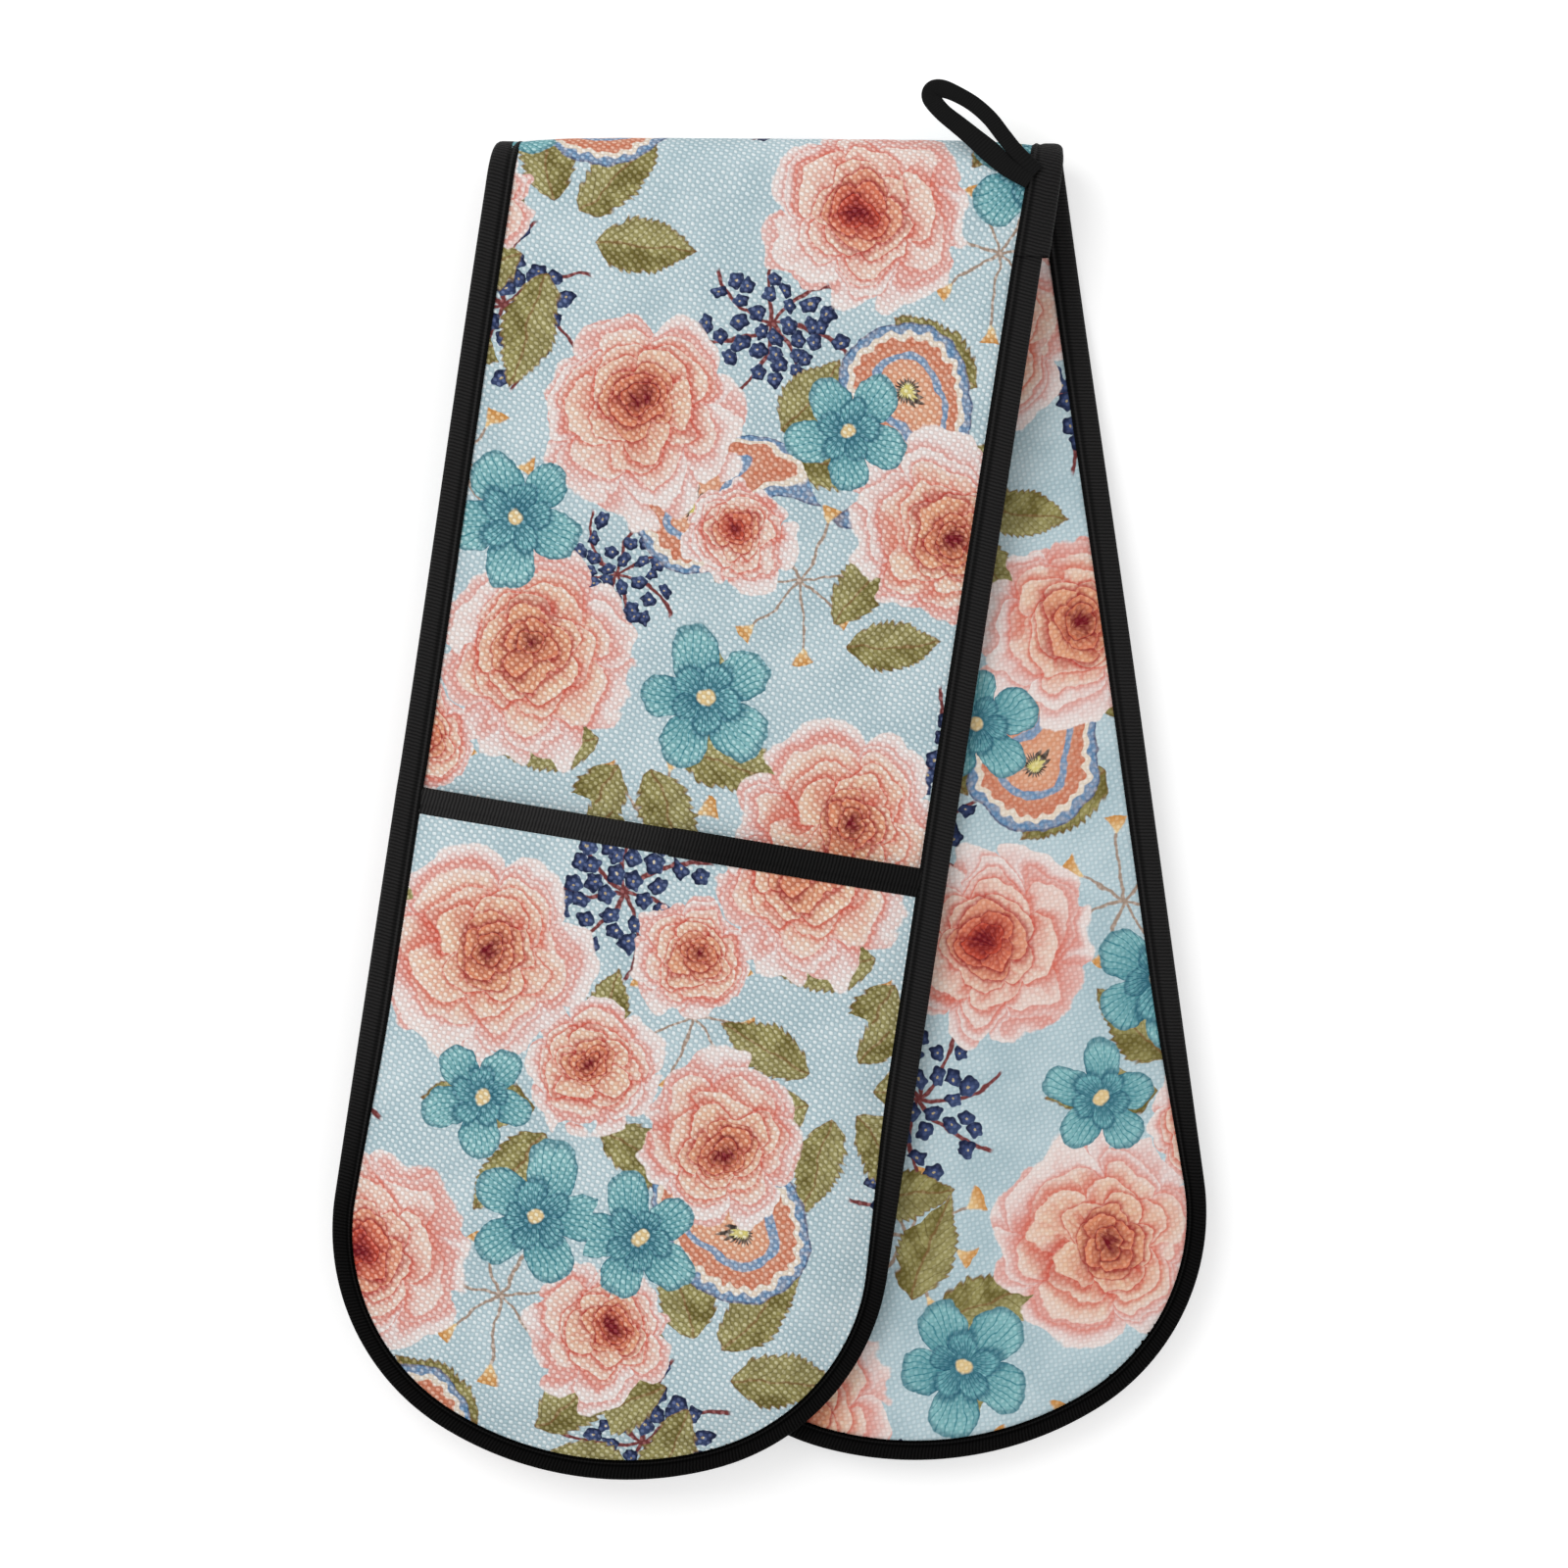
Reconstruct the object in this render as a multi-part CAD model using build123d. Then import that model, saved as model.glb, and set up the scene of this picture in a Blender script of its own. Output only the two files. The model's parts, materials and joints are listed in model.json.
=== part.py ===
"""Double oven glove, folded in the middle and laid flat.

One padded strip has a hand pocket on the outer side at each end. The strip is folded on a line
oblique to its length, so that its two halves splay apart. Every sandwich is fabric, wadding and
fabric, the edges are bound with black tape, and a loop to hang it by is sewn in at the fold.

The front half lies over the rear half, and each pocket faces away from the other half. The fold
is a round bend made of three short stretches, hinged along lines on its outer face, so that the
strip opens out flat. Units are millimetres and degrees, +X to the right, +Y towards the fold and
+Z up. The origin is at the middle of the base of the bounding box.
"""

import os
from math import atan2, copysign, cos, degrees, hypot, radians, sin, sqrt, tan

from build123d import *

# The strip in plan
strip_width = 183.0
front_length = 445.0  # from the fold to the tip, along the half's own axis
rear_length = 439.0
splay = 8.2  # angle of each half's axis from square to the fold
shoulder_radius = 76.0  # where the side turns into the rounded end
tip_radius = 115.0  # the flatter arc across the tip

# Layers
fabric = 0.5
body_wadding = 2.6
pocket_wadding = 2.2
tape = 0.6  # thickness of the binding tape
pressed_edge = 1.6  # the pocket's three layers pressed together in its seam

# Pockets
pocket_depth = 216.0  # from the pocket's mouth to the tip
hand_gap = 4.8  # room between the pocket and the strip with nothing in it
slope_width = 20.0  # from the seam up to the pocket's flat crown
mouth_apron = 20.0  # level stretch of the strip before the mouth
fold_apron = 32.0  # level stretch of the strip before the bend

# Binding
binding_width = 8.4
lap_length = 39.0  # the tape's lapped end, from the fold down the right side
lap_step = 2.3  # how far the lapped end stands out past the binding under it

# Fold
bend_stretches = 3
bend_tail = 4.0  # level stretch at each end of the bend, which turns with it
slit = 0.1  # between neighbouring stretches of the bend
between_halves = 0.3  # between the bindings of the two halves

# Hanging loop, a ribbon folded lengthwise and sewn in under the lapped tape
loop_length = 42.0
loop_width = 14.4
loop_base = 9.6  # width where the two ends come out of the seam
loop_tip_radius = 4.6
loop_thickness = 1.4
loop_bearing = 140.0  # direction of the loop from +X
loop_drop = 9.8  # from the fold down to the middle of the loop's base
eye_length = 22.0
eye_width = 3.2
eye_start = 13.0  # from the loop's base to its eye

seat = 0.3  # clearance between soft pieces that move apart

# Worked out from the sizes above
body = body_wadding + 2 * fabric
pocket = pocket_wadding + 2 * fabric
inner_level = between_halves / 2 + tape  # the strip's inner face above the mid-plane
bend_radius = inner_level + body + hand_gap + pocket + tape
stack = 2 * bend_radius
rise = bend_radius - tape - body - inner_level  # from the pocket's level up to the bend's
stretch_angle = 180.0 / bend_stretches
bend_end = bend_radius + bend_tail  # from the fold to where the halves start
lean = tan(radians(splay))
panel_inset = binding_width + seat
shoulder_x = strip_width / 2 - shoulder_radius  # centre of the shoulder's arc
end_drop = sqrt((tip_radius - shoulder_radius) ** 2 - shoulder_x**2)
reach = 2 * (front_length + strip_width)  # longer than anything it cuts


def hinge_line(number):
    """Y and Z of one hinge of the fold, on the outer face, counted from the rear half."""
    turn = radians(number * stretch_angle)
    tail = bend_tail if number in (0, bend_stretches) else 0
    return bend_radius * (sin(turn) - 1) - tail, bend_radius * (1 - cos(turn))


def stretch_run(number):
    """How far one stretch of the bend goes back in Y and up in Z, from hinge to hinge."""
    start, end = hinge_line(number - 1), hinge_line(number)
    return start[0] - end[0], end[1] - start[1]


end_run = hypot(*stretch_run(bend_stretches))
mid_run = 2 * bend_radius * sin(radians(stretch_angle / 2))
bent_run = (bend_stretches - 2) * mid_run + 2 * end_run  # length of the bend laid out flat
axis_at_fold = (bend_end - bent_run / 2) * lean  # where the half's axis crosses the fold


def leg_outline(length, inset):
    """Plan of one half, its sides straight and its end three tangent arcs, pulled in by inset."""
    side = strip_width / 2 - inset
    tip_y = tip_radius - length
    shoulder_y = tip_y - end_drop
    turn = degrees(atan2(end_drop, shoulder_x))
    shoulder = shoulder_radius - inset
    edges = [
        Line((side, strip_width), (side, shoulder_y)),
        CenterArc((shoulder_x, shoulder_y), shoulder, 0, -turn),
        CenterArc((0, tip_y), tip_radius - inset, -turn, 2 * turn - 180),
        CenterArc((-shoulder_x, shoulder_y), shoulder, turn - 180, -turn),
        Line((-side, shoulder_y), (-side, strip_width)),
        Line((-side, strip_width), (side, strip_width)),
    ]
    return make_face(edges)


def along_leg(shape):
    """Turns a shape drawn down the -Y axis onto the front half's own axis."""
    return Pos(axis_at_fold, 0, 0) * Rot(0, 0, -splay) * shape


def leg_prism(length, inset):
    """Upright prism on the plan of one half."""
    return along_leg(Pos(0, 0, -stack) * extrude(leg_outline(length, inset), amount=3 * stack))


def beyond(y):
    """Everything on the tip's side of a line square to the half's own axis."""
    return Pos(0, y - reach / 2, 0) * Box(reach, reach, reach)


def past_mouth(length, past):
    """Everything on the tip's side of a line that lies past the pocket's mouth by that much."""
    return beyond(pocket_depth - length - past)


def strip_band(length, low, high):
    """Part of the strip between two depths above its inner face, as wide as the fold is long.

    It lies level over the pocket, rises in an S, and runs level again into the bend.
    """
    mouth_end = (length - pocket_depth) * cos(radians(splay)) - strip_width / 2 * sin(radians(splay))
    level = bend_radius + inner_level
    far = (-2 * length, level)
    foot = (mouth_apron - mouth_end, level)
    head = (-fold_apron, level + rise)
    end = (-bend_end - slit / 2, level + rise)

    def lifted(point, depth):
        return (point[0], point[1] + depth)

    def surface(depth):
        a, b, c, d = (lifted(point, depth) for point in (far, foot, head, end))
        return [Line(a, b), Spline(b, c, tangents=[(1, 0), (1, 0)]), Line(c, d)]

    ends = [Line(lifted(p, low), lifted(p, high)) for p in (far, end)]
    section = Plane.YZ * make_face(surface(low) + surface(high) + ends)
    return extrude(section, amount=strip_width, both=True)


def half_layers(length):
    """The strip's three layers over one half."""
    plan = leg_prism(length, 0)
    return {
        "inner_fabric": strip_band(length, 0, fabric) & plan,
        "wadding": strip_band(length, fabric, body - fabric) & plan,
        "outer_fabric": strip_band(length, body - fabric, body) & plan,
    }


def half_binding(length, first, second):
    """Tape folded over the edge of one half: the runs down its first and second side, and its end.

    Past the pocket's mouth it also takes in the pocket's pressed edge, and is deeper.
    """
    ring = leg_prism(length, -tape) - leg_prism(length, binding_width)
    with_pocket = along_leg(past_mouth(length, 0))
    shallow = strip_band(length, -tape, body + tape) - with_pocket
    deep = strip_band(length, -tape, body + pressed_edge + tape) & with_pocket
    held = leg_prism(length, 0) & (
        strip_band(length, 0, body) + (strip_band(length, 0, body + pressed_edge) & with_pocket)
    )
    channel = (ring & (shallow + deep)) - held
    end = along_leg(beyond(tip_radius - length - end_drop))
    sides = channel - end
    second_side = along_leg(Pos(reach / 2, 0, 0) * Box(reach, 2 * reach, reach))
    return {
        f"binding_{first}": sides - second_side,
        f"binding_{second}": sides & second_side,
        "binding_end": channel & end,
    }


def pocket_margin(length):
    """The pocket's edge, pressed flat and held in the binding round its three sewn sides."""
    ring = leg_prism(length, 0) - leg_prism(length, binding_width)
    return ring & strip_band(length, body, body + pressed_edge) & along_leg(past_mouth(length, tape))


def tent(length, inset, edge_height, crown_height, run):
    """Solid under a pocket: an upright edge, then a slope in over run up to a level crown."""
    foot = leg_outline(length, inset)
    crown = leg_outline(length, inset + run)
    slope = loft([Pos(0, 0, edge_height) * foot, Pos(0, 0, crown_height) * crown], ruled=True)
    if edge_height == 0:
        return slope
    return slope + extrude(foot, amount=edge_height)


def pocket_pieces(length):
    """The pocket's padded panel and the tape over its mouth, clear of the binding round it."""
    crown = hand_gap - seat  # height of the lining's underside above the pocket's foot
    edge = pressed_edge
    depths = [0, fabric, fabric + pocket_wadding, pocket]
    edges = [0, fabric, edge - fabric, edge]
    surfaces = [
        tent(length, panel_inset, low, crown + depth, slope_width) for low, depth in zip(edges, depths)
    ]
    panel_side = past_mouth(length, tape)
    lining, wadding, face = (
        (surfaces[i + 1] - surfaces[i]) & panel_side for i in range(3)
    )
    under_tape = tape / crown * slope_width  # where the lining is one tape's thickness up
    inside = tent(length, panel_inset + under_tape, 0, crown - tape, slope_width - under_tape)
    outside = tent(length, panel_inset, edge + tape, crown + pocket + tape, slope_width)
    mouth = (outside - inside) & (past_mouth(length, 0) - past_mouth(length, binding_width))
    panel = (surfaces[3] - surfaces[0]) & panel_side
    foot = Pos(0, 0, bend_radius + inner_level + body + seat)
    return {
        "pocket_lining": foot * along_leg(lining),
        "pocket_wadding": foot * along_leg(wadding),
        "pocket_face": foot * along_leg(face),
        "mouth_binding": foot * along_leg(mouth - panel),
    }


def bend_band(number, inner, outer):
    """One stretch of the bend between two radii, as wide as the fold is long.

    The first and last stretch run on level past the bend.
    """
    first, last = number == 1, number == bend_stretches
    trim = degrees(slit / 2 / bend_radius)
    start = (number - 1) * stretch_angle - 90 + (0 if first else trim)
    end = number * stretch_angle - 90 - (0 if last else trim)
    arcs = [CenterArc((0, 0), radius, start, end - start) for radius in (inner, outer)]
    sides = [Line(arcs[0] @ place, arcs[1] @ place) for place in (0, 1)]
    band = extrude(Plane.YZ * make_face(arcs + sides), amount=strip_width, both=True)
    if first or last:
        height = copysign((inner + outer) / 2, number - 1.5)
        tail = bend_tail - slit / 2
        band += Pos(0, -tail / 2, height) * Box(2 * strip_width, tail, outer - inner)
    return Pos(0, -bend_radius, bend_radius) * band


def bend_strip(number, low, high):
    """Part of a bend stretch between two distances across the strip, measured from its middle."""
    back, up = stretch_run(number)
    past_middle = (number - (bend_stretches + 1) / 2) * mid_run
    if number in (1, bend_stretches):
        past_middle = copysign((bent_run - end_run) / 2, past_middle)
    line = hinge_line(number)
    middle = Pos(-past_middle * lean, line[0] + back / 2, line[1] - up / 2)
    strip = Pos((low + high) / 2, 0, 0) * Box(high - low, reach, reach)
    return middle * Rot(degrees(atan2(back, up)), 0, 0) * Rot(0, -splay, 0) * strip


def bend_binding(number, side, lapped):
    """Tape over one edge of a bend stretch, with the tape's lapped end over it where lapped."""
    edge = strip_width / 2
    over = tape if lapped else 0
    stand = edge + tape + (lap_step if lapped else 0)
    outer = bend_radius
    inner = outer - tape - body - tape
    low, high = sorted((side * (edge - binding_width), side * stand))
    channel = bend_band(number, inner - over, outer + over) & bend_strip(number, low, high)
    return channel - (bend_band(number, inner + tape, outer - tape) & bend_strip(number, -edge, edge))


def bend_pieces(number):
    """The three layers and the two bindings of one stretch of the bend."""
    face = bend_radius - tape
    layers = bend_strip(number, -strip_width / 2, strip_width / 2)
    return {
        "outer_fabric": bend_band(number, face - fabric, face) & layers,
        "wadding": bend_band(number, face - body + fabric, face - fabric) & layers,
        "inner_fabric": bend_band(number, face - body, face - body + fabric) & layers,
        "binding_left": bend_binding(number, -1, False),
        "binding_right": bend_binding(number, 1, number == bend_stretches),
    }


def lapped_end(length):
    """The tape's last stretch, lapped over the binding down the right side below the fold."""
    gap = tape + slit  # lets the two lapped stretches turn towards each other
    outside = leg_prism(length, -tape - lap_step) - leg_prism(length, binding_width)
    under = strip_band(length, -tape, body + tape) & leg_prism(length, -tape)
    long = lap_length - bend_end - gap
    window = Pos(strip_width / 2, -bend_end - gap - long / 2, 0) * Box(strip_width, long, reach)
    return (outside & window & strip_band(length, -2 * tape, body + 2 * tape)) - under


def hanging_loop():
    """Ribbon loop lying on the front face, its base at the inner edge of the lapped tape."""
    widest = Pos(loop_length / 2, 0) * Circle(loop_width / 2)
    tip = Pos(loop_length - loop_tip_radius, 0) * Circle(loop_tip_radius)
    base = Rectangle(2 * loop_base, loop_base)
    ribbon = make_hull(widest.edges() + tip.edges() + base.edges())
    eye_middle = eye_start + eye_length / 2
    bow = (eye_length**2 + eye_width**2) / (4 * eye_width)  # radius of each side of the eye
    sides = [Pos(eye_middle, turn * (bow - eye_width / 2)) * Circle(bow) for turn in (1, -1)]
    eye = sides[0] & sides[1]
    loop = extrude(ribbon - eye, amount=loop_thickness)
    seam = strip_width / 2 - binding_width - seat  # across the half, where the ribbon comes out
    seam_x = axis_at_fold + seam / cos(radians(splay)) - loop_drop * lean
    level = stack - tape + seat
    under_tape = along_leg(Pos(seam + reach / 2, 0, 0) * Box(reach, reach, reach))
    return Pos(seam_x, -loop_drop, level) * Rot(0, 0, loop_bearing) * loop - under_tape


def half_pieces(length, first, second):
    """All that belongs to one half, drawn as the front half lies."""
    margin = {"pocket_margin": pocket_margin(length)}
    return half_layers(length) | half_binding(length, first, second) | margin | pocket_pieces(length)


turned_over = Pos(0, 0, bend_radius) * Rot(0, 180, 0) * Pos(0, 0, -bend_radius)
pieces = {}
for piece, solid in half_pieces(front_length, "left", "right").items():
    pieces[f"front_{piece}"] = solid
for piece, solid in half_pieces(rear_length, "right", "left").items():
    pieces[f"rear_{piece}"] = turned_over * solid
for number in range(1, bend_stretches + 1):
    for piece, solid in bend_pieces(number).items():
        pieces[f"fold_{number}_{piece}"] = solid
pieces["lapped_end"] = lapped_end(front_length)
pieces["hanging_loop"] = hanging_loop()

box = Compound(children=[Part() + piece for piece in pieces.values()]).bounding_box()
to_origin = Pos(-box.center().X, -box.center().Y, -box.min.Z)

os.makedirs("parts", exist_ok=True)
for name, piece in pieces.items():
    export_step(to_origin * piece, f"parts/{name}.step")
print(f"bend radius {bend_radius:.2f}, box {box.size.X:.1f} x {box.size.Y:.1f} x {box.size.Z:.1f}")
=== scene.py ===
import json
from functools import partialmethod
from math import atan2, cos, exp, hypot, pi, radians, sin, sqrt

import bmesh
import bpy
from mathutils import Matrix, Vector, noise


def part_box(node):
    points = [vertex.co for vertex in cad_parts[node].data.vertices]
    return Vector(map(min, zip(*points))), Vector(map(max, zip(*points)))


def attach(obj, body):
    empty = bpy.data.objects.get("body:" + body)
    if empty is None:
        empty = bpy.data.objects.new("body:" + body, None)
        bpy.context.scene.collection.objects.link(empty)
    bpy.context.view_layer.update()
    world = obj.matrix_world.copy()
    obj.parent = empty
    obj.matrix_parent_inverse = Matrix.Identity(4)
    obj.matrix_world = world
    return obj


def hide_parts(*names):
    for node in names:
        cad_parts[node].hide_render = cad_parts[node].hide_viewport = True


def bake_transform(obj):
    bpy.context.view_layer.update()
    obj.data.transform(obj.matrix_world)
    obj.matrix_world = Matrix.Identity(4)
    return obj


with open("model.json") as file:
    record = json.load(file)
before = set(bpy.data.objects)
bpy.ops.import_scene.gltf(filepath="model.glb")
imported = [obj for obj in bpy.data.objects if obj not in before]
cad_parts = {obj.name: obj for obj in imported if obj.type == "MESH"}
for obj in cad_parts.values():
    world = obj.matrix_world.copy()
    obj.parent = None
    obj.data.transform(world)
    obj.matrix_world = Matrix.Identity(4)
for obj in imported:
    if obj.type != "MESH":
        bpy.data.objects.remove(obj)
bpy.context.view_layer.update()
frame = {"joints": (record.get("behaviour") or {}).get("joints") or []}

# The strip. The glove is one padded strip with rounded ends, sewn flat and then folded across
# its middle, a little askew. All its pieces are made on the open strip, in millimetres across
# it, along it and above its inner face, and then laid where the folded strip has them.
mm = 0.001
strip_width = 183.0
front_length = 445.0  # from the fold to the tip, as it lies folded
rear_length = 439.0
splay = radians(8.2)
shoulder_radius = 76.0
tip_radius = 115.0
fabric = 0.5
body = 3.6  # fabric, wadding and fabric
tape = 0.6
inner_level = 0.75  # the strip's inner face above the plane between the halves
binding_width = 8.4
cloth_inset = 3.4  # where a cloth ends, inside the strip's edge and so inside the tape
pocket_depth = 216.0  # from a pocket's mouth to the tip
mouth_apron = 20.0  # level stretch of the strip before the mouth
fold_apron = 32.0  # level stretch of the strip before the bend

joints = {joint["name"]: joint for joint in frame["joints"]}
front_hinge = Vector(joints["fold_hinge_4"]["pos_m"]) / mm
fold_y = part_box("fold_2_binding_left")[1].y / mm
origin = Vector((front_hinge.x, fold_y, 0))
bend_radius = front_hinge.z / 2
bend_end = fold_y - front_hinge.y  # from the fold to where the halves start
bend_tail = bend_end - bend_radius
half_bend = bend_radius / 2 + hypot(bend_radius / 2, bend_radius * sin(pi / 3) + bend_tail)
bend_stretch = (bend_tail + bend_radius * pi / 2) / half_bend
rise = bend_radius - tape - body - inner_level
front_tip = front_length + (half_bend - bend_end) / cos(splay)
rear_tip = rear_length + (half_bend - bend_end) / cos(splay)
shoulder_x = strip_width / 2 - shoulder_radius
end_drop = sqrt((tip_radius - shoulder_radius) ** 2 - shoulder_x**2)
shoulder_turn = atan2(end_drop, shoulder_x)


def smooth(share):
    """Eases from 0 to 1 while the share goes from 0 to 1."""
    share = min(1.0, max(0.0, share))
    return share * share * (3 - 2 * share)


def tip_of(along):
    """How far the tip on a point's side lies from the middle of the strip."""
    return front_tip if along < 0 else rear_tip


def laid(x, y, height):
    """Place in the world of a point of the strip, its x along the fold and y square to it."""
    side = 1 if y < 0 else -1
    past_bend = abs(y) - half_bend
    if past_bend > 0:
        mouth = (tip_of(y) - pocket_depth) * cos(splay)
        foot = mouth - strip_width / 2 * sin(splay) - half_bend - mouth_apron
        head = fold_apron - bend_end
        back = -bend_end - past_bend
        up = inner_level + rise * smooth((foot - past_bend) / (foot - head)) + height
    else:
        run = -past_bend * bend_stretch
        turn = max(0.0, run - bend_tail) / bend_radius
        radius = bend_radius - tape - body + height
        back = -bend_end + min(run, bend_tail) + radius * sin(turn)
        up = radius * cos(turn)
    return (origin + Vector((x, back, bend_radius + side * up))) * mm


def past_fold(across, along):
    """How far a point lies from the line of the fold, towards the rear half's tip."""
    return along * cos(splay) - across * sin(splay)


def folded(point):
    """Place in the world of a point given across the strip, along it and above its inner face."""
    across, along, height = point
    return laid(across * cos(splay) + along * sin(splay), past_fold(across, along), height)


def from_edge(across, along):
    """How far a point lies inside the strip's edge."""
    past_centre = abs(along) - (tip_of(along) - tip_radius)
    past_shoulder = past_centre - end_drop
    if past_shoulder <= 0:
        return strip_width / 2 - abs(across)
    shoulder = Vector((abs(across) - shoulder_x, past_shoulder))
    if atan2(shoulder.y, shoulder.x) <= shoulder_turn:
        return shoulder_radius - shoulder.length
    return tip_radius - hypot(across, past_centre)


# The parts that the strip is divided into where it bends: each runs between two lines along the
# fold and is given the two bodies on either side of one hinge line.
square_to_fold = Vector((-sin(splay), cos(splay), 0))
end_stretch_middle = (bend_tail + bend_radius * pi / 6) / bend_stretch - half_bend
hinge_reach = end_stretch_middle + half_bend  # from a hinge line to where its blend ends
bend_parts = {
    "front": (-2 * front_tip, end_stretch_middle, "front_half", "fold_3"),
    "fold_front": (end_stretch_middle, 0.0, "fold_3", "fold_2"),
    "fold_rear": (0.0, -end_stretch_middle, "fold_2", "fold_1"),
    "rear": (-end_stretch_middle, 2 * rear_tip, "fold_1", "rear_half"),
}


def blend_over_hinge(piece, part):
    """Bakes a piece's placement into its mesh; its part's reach about the hinge line is worked out
    but not used.
    """
    low, high, first, second = bend_parts[part]
    low, high = max(low, -half_bend - hinge_reach), min(high, half_bend + hinge_reach)
    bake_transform(piece)


def cut(bm, low, high):
    """Keeps what lies between two lines along the fold."""
    for place, outward in ((low, -1), (high, 1)):
        geometry = bm.verts[:] + bm.edges[:] + bm.faces[:]
        bmesh.ops.bisect_plane(
            bm, geom=geometry, dist=1e-4, plane_co=square_to_fold * place,
            plane_no=square_to_fold * outward, clear_outer=True,
        )


def cut_to_part(layer, part):
    """A copy of a layer that runs the strip's whole length, cut off where the part ends."""
    bm = layer.copy()
    low, high = bend_parts[part][:2]
    cut(bm, low, high)
    return bm


# The two printed cloths, one on each face of the strip, cut to its outline and caught under the
# edge tape all round. Sewing the tape draws them down beside it and gathers small puckers, and
# over the wadding they lie in slow, shallow swells.
def grid(columns, rows, wide=1.0, long=1.0, middle=(0.0, 0.0)):
    """A flat sheet divided into squares, as wide and long as given, round its middle."""
    bm = bmesh.new()
    bmesh.ops.create_grid(bm, x_segments=columns, y_segments=rows, size=0.5)
    bmesh.ops.scale(bm, vec=(wide, long, 1), verts=bm.verts)
    bmesh.ops.translate(bm, vec=(*middle, 0), verts=bm.verts)
    return bm


def trim(bm, inset):
    """Takes off what lies nearer than the inset to the strip's edge."""
    outside = [vert for vert in bm.verts if from_edge(vert.co.x, vert.co.y) < inset]
    bmesh.ops.delete(bm, geom=outside, context="VERTS")


def sheet_of_strip(step, inset):
    """A sheet as wide and long as the strip and rounded like it, ending short of its edge."""
    wide, long = strip_width - 2 * inset, front_tip + rear_tip - 2 * inset
    bm = grid(round(wide / step), round(long / step), wide, long, (0, (rear_tip - front_tip) / 2))
    trim(bm, inset)
    return bm


def lay_pattern(bm, name, place_of):
    """Gives each point of a sheet its place on a pattern."""
    layer = bm.loops.layers.uv.new(name)
    for face in bm.faces:
        for loop in face.loops:
            loop[layer].uv = place_of(loop.vert.co)


def printed_from(bm, x, y):
    """Gives a flat cloth its place on the print, which starts at that point of the cloth."""
    lay_pattern(bm, "Cloth", lambda point: (point.x - x, point.y - y))


def sewn_down(across, along, fold_swell=0.4):
    """How far the cloth lies below its full height, lower beside the tape's sewn edge."""
    inside = max(0.0, from_edge(across, along) - binding_width)
    drawn = 0.7 * exp(-inside / 6)
    puckers = 0.5 * noise.noise((across / 8, along / 8, 3.0)) * exp(-inside / 9)
    swells = 0.5 * noise.noise((across / 42, along / 42, 0.0))
    swells += 0.12 * noise.noise((across / 13, along / 13, 7.0))
    settled = 1 - exp(-inside / 12)
    lying = max(-0.2, drawn + puckers + (0.3 + swells) * settled)
    from_fold = past_fold(across, along)
    raised = fold_swell * settled * exp(-((from_fold / 9) ** 2))
    return lying * (1 - exp(-((from_fold / 14) ** 2))) - raised


def placed(name, data):
    """An object of the scene, where its data lies."""
    made = bpy.data.objects.new(name, data)
    bpy.context.scene.collection.objects.link(made)
    return made


def piece_from(bm, name, material, nodes, place=folded):
    """A finished piece: its points laid in the world, with its material, and the CAD nodes that it
    stands for hidden.
    """
    for vert in bm.verts:
        vert.co = place(vert.co)
    bmesh.ops.recalc_face_normals(bm, faces=bm.faces[:])
    mesh = bpy.data.meshes.new(name)
    bm.to_mesh(mesh)
    bm.free()
    mesh.shade_smooth()
    mesh.set_sharp_from_angle(angle=radians(50))
    mesh.materials.append(material)
    piece = placed(name, mesh)
    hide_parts(*nodes)
    return piece


def flat_size(bm):
    """The area and the length of a sheet that still lies flat."""
    ends = [vert.co.y for vert in bm.verts]
    return sum(face.calc_area() for face in bm.faces), max(ends) - min(ends)


def strip_cloth(name, lower_face, material, nodes):
    """One printed cloth in the bend's four parts."""
    whole = sheet_of_strip(2.4, cloth_inset)
    printed_from(whole, 0.0, 0.0)
    for part in bend_parts:
        bm = cut_to_part(whole, part)
        size = flat_size(bm)
        for vert in bm.verts:
            down = sewn_down(vert.co.x, vert.co.y, 0.4 if lower_face else 1.6)
            vert.co.z = down if lower_face else body - down
        bmesh.ops.solidify(bm, geom=bm.faces[:], thickness=-fabric if lower_face else fabric)
        piece = piece_from(bm, f"{part}_{name}", material, nodes[part])
        blend_over_hinge(piece, part)
    whole.free()


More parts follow.
